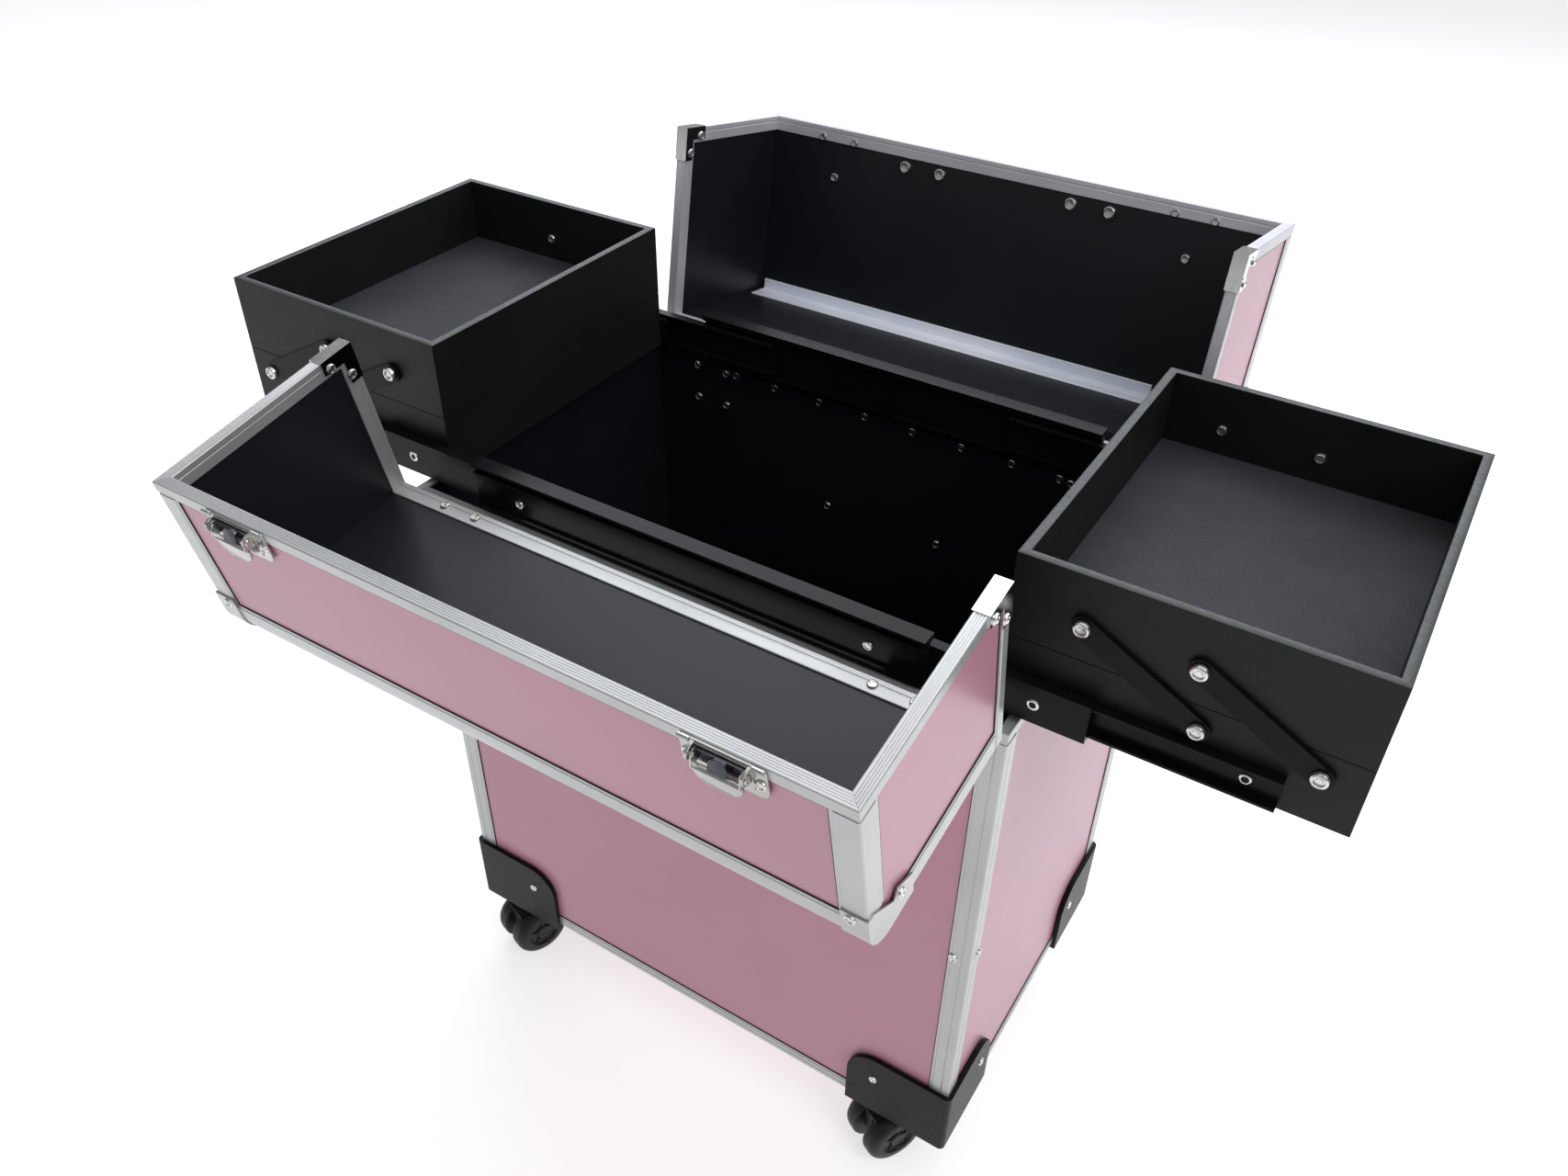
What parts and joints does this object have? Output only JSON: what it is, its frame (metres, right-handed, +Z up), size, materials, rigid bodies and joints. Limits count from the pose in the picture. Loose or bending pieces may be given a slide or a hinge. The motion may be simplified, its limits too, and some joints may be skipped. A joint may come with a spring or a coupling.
{
  "type": "makeup train case",
  "caption": "Rolling makeup train case with split folding lid, sliding cantilever trays, key latches, carry and pull handles, and swivel casters.",
  "frame": {"origin": "on the floor, at the centre of the open case's footprint", "axes": "+X to the right across the case's width, as seen from the front, +Y to the back, +Z up"},
  "size_m": [0.7112, 0.5902, 0.5758],
  "materials": {
    "pink_board": "embossed satin laminate",
    "black_lining": "soft sheen",
    "aluminium": "brushed extrusion",
    "black_moulding": "fine texture",
    "rivet_steel": "bright zinc",
    "black_steel": "satin black",
    "bright_steel": "polished",
    "chrome": "bright chrome",
    "tray_board": "satin black laminate",
    "tray_lining": "fine grained lining",
    "wheel_rubber": "matte"
  },
  "bodies": {
    "body": {"body_panels": "pink_board", "body_lining": "black_lining", "body_frame": "aluminium", "corner_brackets": "black_moulding", "body_rivets": "rivet_steel", "back_wall_bolts": "rivet_steel", "rail_carriers": "black_steel", "fixed_slides": "black_steel", "body_hinge_leaves": "black_steel", "pull_handle_guides": "black_steel"},
    "front_lid": {"front_lid_panels": "pink_board", "front_lid_lining": "black_lining", "front_lid_frame": "aluminium", "front_lid_corner_caps": "chrome", "front_lid_corner_guards": "bright_steel", "front_lid_rivets": "rivet_steel", "front_lid_hinge_leaves": "black_steel", "latch_bases": "chrome"},
    "rear_lid": {"rear_lid_panels": "pink_board", "rear_lid_lining": "black_lining", "rear_lid_frame": "aluminium", "rear_lid_corner_caps": "chrome", "rear_lid_corner_guards": "bright_steel", "rear_lid_rivets": "rivet_steel", "rear_lid_hinge_leaves": "black_steel", "latch_catches": "chrome", "carry_handle_feet": "bright_steel"},
    "latch_lever_left": {"latch_lever_left": "chrome"},
    "latch_lever_right": {"latch_lever_right": "chrome"},
    "carry_handle": {"carry_handle": "black_moulding"},
    "pull_handle": {"pull_handle_stays": "bright_steel", "pull_handle_grip": "black_moulding"},
    "tray_left": {"inner_slides_left": "black_steel", "lower_tray_left": "tray_board", "lower_lining_left": "tray_lining", "lower_pivots_left": "rivet_steel"},
    "mid_slides_left": {"mid_slides_left": "black_steel"},
    "inboard_arms_left": {"inboard_arms_left": "black_steel"},
    "outboard_arms_left": {"outboard_arms_left": "black_steel"},
    "upper_tray_left": {"upper_tray_left": "tray_board", "upper_lining_left": "tray_lining", "upper_pivots_left": "rivet_steel"},
    "tray_right": {"inner_slides_right": "black_steel", "lower_tray_right": "tray_board", "lower_lining_right": "tray_lining", "lower_pivots_right": "rivet_steel"},
    "mid_slides_right": {"mid_slides_right": "black_steel"},
    "inboard_arms_right": {"inboard_arms_right": "black_steel"},
    "outboard_arms_right": {"outboard_arms_right": "black_steel"},
    "upper_tray_right": {"upper_tray_right": "tray_board", "upper_lining_right": "tray_lining", "upper_pivots_right": "rivet_steel"},
    "caster_1": {"caster_hood_1": "black_moulding"},
    "wheels_1": {"caster_wheels_1": "wheel_rubber"},
    "caster_2": {"caster_hood_2": "black_moulding"},
    "wheels_2": {"caster_wheels_2": "wheel_rubber"},
    "caster_3": {"caster_hood_3": "black_moulding"},
    "wheels_3": {"caster_wheels_3": "wheel_rubber"},
    "caster_4": {"caster_hood_4": "black_moulding"},
    "wheels_4": {"caster_wheels_4": "wheel_rubber"}
  },
  "joints": [
    {"name": "front_lid_hinge", "type": "hinge", "parent": "body", "child": "front_lid", "pos_m": [0, -0.13775, 0.4292], "axis": [-1, 0, 0], "range_deg": [0, 21]},
    {"name": "rear_lid_hinge", "type": "hinge", "parent": "body", "child": "rear_lid", "pos_m": [0, 0.12865, 0.4292], "axis": [1, 0, 0], "range_deg": [0, 21]},
    {"name": "carry_handle_pivot", "type": "hinge", "parent": "rear_lid", "child": "carry_handle", "pos_m": [0, 0.28809, 0.53433], "axis": [1, 0, 0], "range_deg": [-9, 165]},
    {"name": "pull_handle_slide", "type": "slide", "parent": "body", "child": "pull_handle", "axis": [0, 0, 1], "range_m": [0, 0.03]},
    {"name": "latch_left_pivot", "type": "hinge", "parent": "front_lid", "child": "latch_lever_left", "pos_m": [-0.14, -0.29158, 0.51357], "axis": [-1, 0, 0], "range_deg": [0, 75]},
    {"name": "latch_right_pivot", "type": "hinge", "parent": "front_lid", "child": "latch_lever_right", "pos_m": [0.14, -0.29158, 0.51357], "axis": [-1, 0, 0], "range_deg": [0, 75]},
    {"name": "tray_left_slide", "type": "slide", "parent": "body", "child": "tray_left", "axis": [1, 0, 0], "range_m": [0, 0.178]},
    {"name": "mid_slides_left_slide", "type": "slide", "parent": "body", "child": "mid_slides_left", "axis": [1, 0, 0], "range_m": [0, 0.089]},
    {"name": "inboard_arms_left_pivot", "type": "hinge", "parent": "tray_left", "child": "inboard_arms_left", "pos_m": [-0.281, -0.00455, 0.463], "axis": [0, -1, 0], "range_deg": [0, 105]},
    {"name": "outboard_arms_left_pivot", "type": "hinge", "parent": "tray_left", "child": "outboard_arms_left", "pos_m": [-0.336, -0.00455, 0.463], "axis": [0, -1, 0], "range_deg": [0, 105]},
    {"name": "upper_tray_left_pivot", "type": "hinge", "parent": "inboard_arms_left", "child": "upper_tray_left", "pos_m": [-0.2205, -0.00455, 0.496], "axis": [0, -1, 0], "range_deg": [-105, 0]},
    {"name": "tray_right_slide", "type": "slide", "parent": "body", "child": "tray_right", "axis": [-1, 0, 0], "range_m": [0, 0.178]},
    {"name": "mid_slides_right_slide", "type": "slide", "parent": "body", "child": "mid_slides_right", "axis": [-1, 0, 0], "range_m": [0, 0.089]},
    {"name": "inboard_arms_right_pivot", "type": "hinge", "parent": "tray_right", "child": "inboard_arms_right", "pos_m": [0.281, -0.00455, 0.463], "axis": [0, 1, 0], "range_deg": [0, 105]},
    {"name": "outboard_arms_right_pivot", "type": "hinge", "parent": "tray_right", "child": "outboard_arms_right", "pos_m": [0.336, -0.00455, 0.463], "axis": [0, 1, 0], "range_deg": [0, 105]},
    {"name": "upper_tray_right_pivot", "type": "hinge", "parent": "inboard_arms_right", "child": "upper_tray_right", "pos_m": [0.2205, -0.00455, 0.496], "axis": [0, 1, 0], "range_deg": [-105, 0]},
    {"name": "caster_1_swivel", "type": "hinge", "parent": "body", "child": "caster_1", "pos_m": [-0.163, -0.10055, 0.049], "axis": [0, 0, 1], "continuous": true},
    {"name": "wheels_1_axle", "type": "hinge", "parent": "caster_1", "child": "wheels_1", "pos_m": [-0.16949, -0.12052, 0.022], "axis": [0.9511, -0.309, 0], "continuous": true},
    {"name": "caster_2_swivel", "type": "hinge", "parent": "body", "child": "caster_2", "pos_m": [-0.163, 0.09145, 0.049], "axis": [0, 0, 1], "continuous": true},
    {"name": "wheels_2_axle", "type": "hinge", "parent": "caster_2", "child": "wheels_2", "pos_m": [-0.15863, 0.07091, 0.022], "axis": [0.9781, 0.2079, 0], "continuous": true},
    {"name": "caster_3_swivel", "type": "hinge", "parent": "body", "child": "caster_3", "pos_m": [0.163, -0.10055, 0.049], "axis": [0, 0, 1], "continuous": true},
    {"name": "wheels_3_axle", "type": "hinge", "parent": "caster_3", "child": "wheels_3", "pos_m": [0.15314, -0.11909, 0.022], "axis": [0.8829, -0.4695, 0], "continuous": true},
    {"name": "caster_4_swivel", "type": "hinge", "parent": "body", "child": "caster_4", "pos_m": [0.163, 0.09145, 0.049], "axis": [0, 0, 1], "continuous": true},
    {"name": "wheels_4_axle", "type": "hinge", "parent": "caster_4", "child": "wheels_4", "pos_m": [0.15582, 0.07172, 0.022], "axis": [0.9397, -0.342, 0], "continuous": true}
  ],
  "couplings": [
    {"joint": "mid_slides_left_slide", "follows": "tray_left_slide", "ratio": 0.5},
    {"joint": "outboard_arms_left_pivot", "follows": "inboard_arms_left_pivot", "ratio": 1},
    {"joint": "upper_tray_left_pivot", "follows": "inboard_arms_left_pivot", "ratio": -1},
    {"joint": "mid_slides_right_slide", "follows": "tray_right_slide", "ratio": 0.5},
    {"joint": "outboard_arms_right_pivot", "follows": "inboard_arms_right_pivot", "ratio": 1},
    {"joint": "upper_tray_right_pivot", "follows": "inboard_arms_right_pivot", "ratio": -1}
  ]
}
